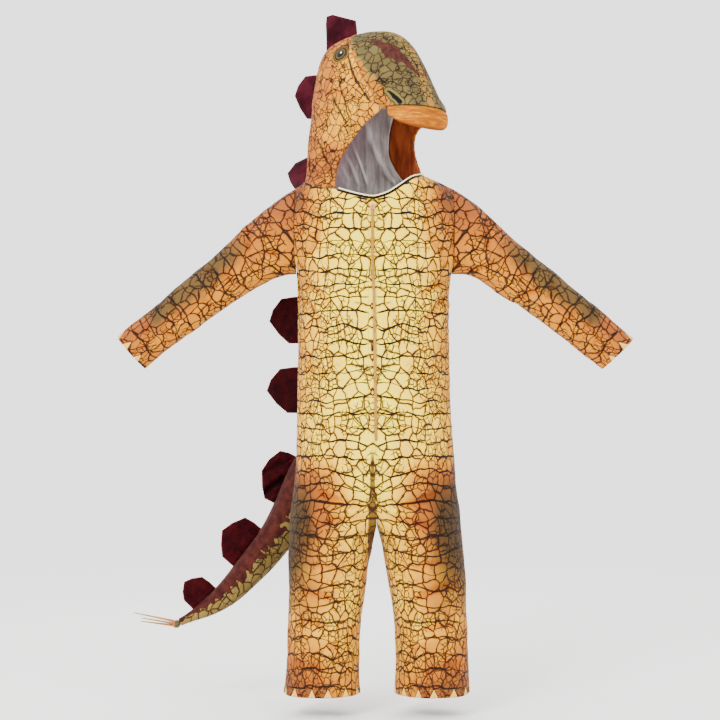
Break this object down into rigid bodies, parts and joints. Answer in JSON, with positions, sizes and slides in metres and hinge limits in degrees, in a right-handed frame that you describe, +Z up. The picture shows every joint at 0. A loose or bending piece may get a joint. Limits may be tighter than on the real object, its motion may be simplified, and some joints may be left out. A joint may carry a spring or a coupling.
{
  "type": "dinosaur costume",
  "caption": "Child's hooded one-piece dinosaur suit with a padded snout, plates down the back and a stuffed tail.",
  "frame": {"origin": "between the shoulders, at the height where they carry the suit", "axes": "+Z up, the suit faces -Y, the wearer's left is +X"},
  "size_m": [0.8601, 0.2869, 1.1386],
  "materials": {
    "print_front": "brushed jersey, printed",
    "print_back": "brushed jersey, printed",
    "print_sleeve": "brushed jersey, printed",
    "print_hood": "brushed jersey, printed",
    "rust_cloth": "matt",
    "satin": "soft sheen",
    "snout": "brushed jersey, printed",
    "lip": "brushed jersey",
    "velvet": "short pile",
    "tail": "brushed jersey, printed",
    "knot": "matt",
    "spikes": "stiff cord, matt",
    "zip_tape": "woven tape with a nylon coil",
    "slider": "painted",
    "pull": "painted",
    "binding": "matt"
  },
  "bodies": {
    "suit": {"back_left": "print_back", "back_right": "print_back", "front_left": "print_front", "front_right": "print_front", "hood_facing_left": "rust_cloth", "hood_facing_right": "rust_cloth", "hood_left": "print_hood", "hood_lining_left": "satin", "hood_lining_right": "satin", "hood_right": "print_hood", "neck_binding": "binding", "plate_back_1": "velvet", "plate_back_2": "velvet", "plate_back_3": "velvet", "plate_hood_1": "velvet", "plate_hood_2": "velvet", "plate_hood_3": "velvet", "plate_tail_1": "velvet", "plate_tail_2": "velvet", "plate_tail_3": "velvet", "sleeve_left": "print_sleeve", "sleeve_right": "print_sleeve", "snout_lining": "satin", "snout_lip": "lip", "snout_top": "snout", "snout_underside": "rust_cloth", "tail_knot": "knot", "tail_left": "tail", "tail_right": "tail", "tail_spike_1": "spikes", "tail_spike_2": "spikes", "tail_spike_3": "spikes", "zip_slider": "slider", "zip_tape": "zip_tape"},
    "pull": {"zip_pull": "pull"}
  },
  "joints": [
    {"name": "pull_flip", "type": "hinge", "parent": "suit", "child": "pull", "pos_m": [-0.0047, -0.08675, -0.0375], "axis": [-1, 0, 0], "range_deg": [0, 150]}
  ]
}
